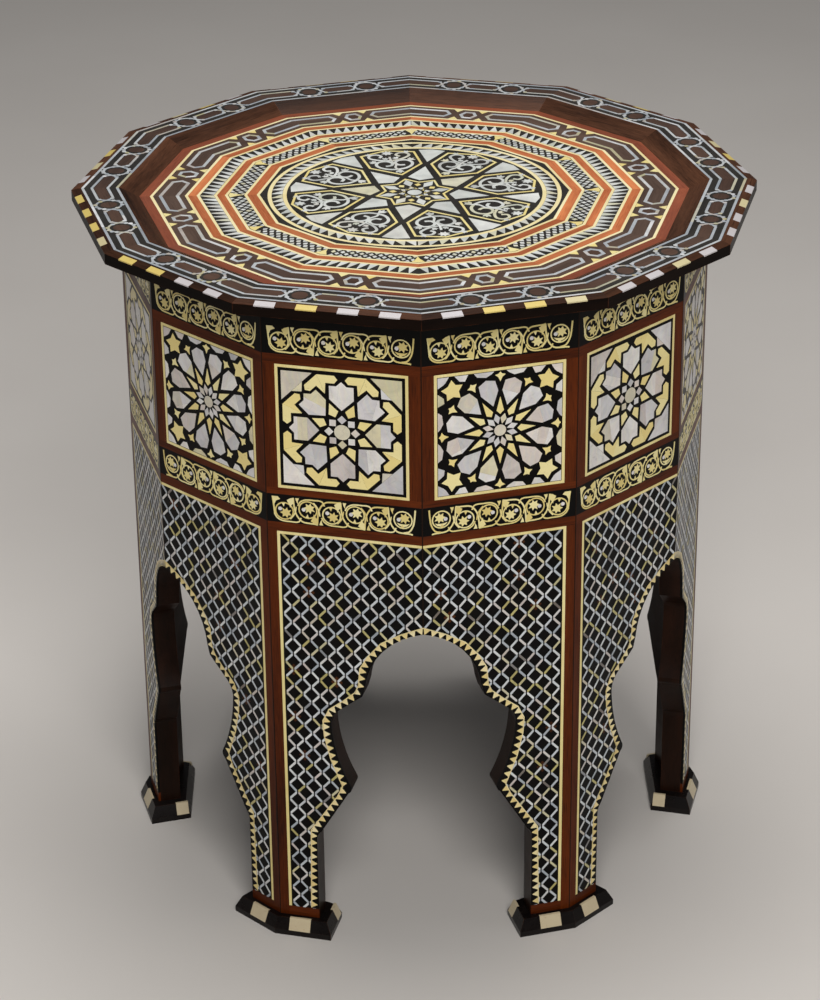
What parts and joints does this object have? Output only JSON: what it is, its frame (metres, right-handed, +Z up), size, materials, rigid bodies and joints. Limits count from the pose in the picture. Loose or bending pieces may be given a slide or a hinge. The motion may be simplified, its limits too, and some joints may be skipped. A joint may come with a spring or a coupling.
{
  "type": "inlaid side table",
  "caption": "Polygonal side table with a raised-rim inlaid top on a mitred drum, keel arches between angled legs and low bevelled feet; opens downwards.",
  "frame": {"origin": "on the floor under the middle of the table", "axes": "+Z up; -Y points out of the arch that faces the picture's camera, +X to its right"},
  "size_m": [0.569, 0.569, 0.593],
  "materials": {
    "dark_walnut": "satin, dark stained",
    "rim_walnut": "polished",
    "red_padauk": "polished",
    "ebonised_wood": "polished",
    "pale_lemonwood": "polished",
    "softwood": "plain",
    "bone": "polished",
    "screw_steel": "dull"
  },
  "bodies": {
    "root": {"side_board_01": "dark_walnut", "rim_segment_01": "rim_walnut", "side_board_02": "dark_walnut", "rim_segment_02": "rim_walnut", "side_board_03": "dark_walnut", "rim_segment_03": "rim_walnut", "side_board_04": "dark_walnut", "rim_segment_04": "rim_walnut", "side_board_05": "dark_walnut", "rim_segment_05": "rim_walnut", "side_board_06": "dark_walnut", "rim_segment_06": "rim_walnut", "side_board_07": "dark_walnut", "rim_segment_07": "rim_walnut", "side_board_08": "dark_walnut", "rim_segment_08": "rim_walnut", "side_board_09": "dark_walnut", "rim_segment_09": "rim_walnut", "side_board_10": "dark_walnut", "rim_segment_10": "rim_walnut", "side_board_11": "dark_walnut", "rim_segment_11": "rim_walnut", "side_board_12": "dark_walnut", "rim_segment_12": "rim_walnut", "foot_1": "ebonised_wood", "foot_2": "ebonised_wood", "foot_3": "ebonised_wood", "foot_4": "ebonised_wood", "foot_5": "ebonised_wood", "foot_6": "ebonised_wood", "foot_bone_blocks": "bone", "foot_dowels": "softwood", "rim_blocks": "bone", "rim_veneers": "ebonised_wood", "field_margin_strips": "red_padauk", "field_stringing": "pale_lemonwood", "field_red_strips": "red_padauk", "outer_band_veneers": "ebonised_wood", "sawtooth_band_veneers": "ebonised_wood", "mosaic_band_veneers": "ebonised_wood", "rosette_border": "ebonised_wood", "rosette_rings": "pale_lemonwood", "sawtooth_ring": "ebonised_wood", "rosette_disc": "ebonised_wood", "top_panel": "dark_walnut", "top_cleats": "softwood", "cleat_screws": "screw_steel", "corner_blocks": "softwood", "upper_frieze_panels": "ebonised_wood", "lower_frieze_panels": "ebonised_wood", "red_rails": "red_padauk", "panel_stiles": "red_padauk", "panel_stringing": "pale_lemonwood", "star_panels_twelvefold": "ebonised_wood", "star_panels_eightfold": "ebonised_wood", "leg_posts": "red_padauk", "leg_strips": "red_padauk", "leg_stringing": "pale_lemonwood", "lattice_panels": "ebonised_wood"}
  },
  "joints": []
}
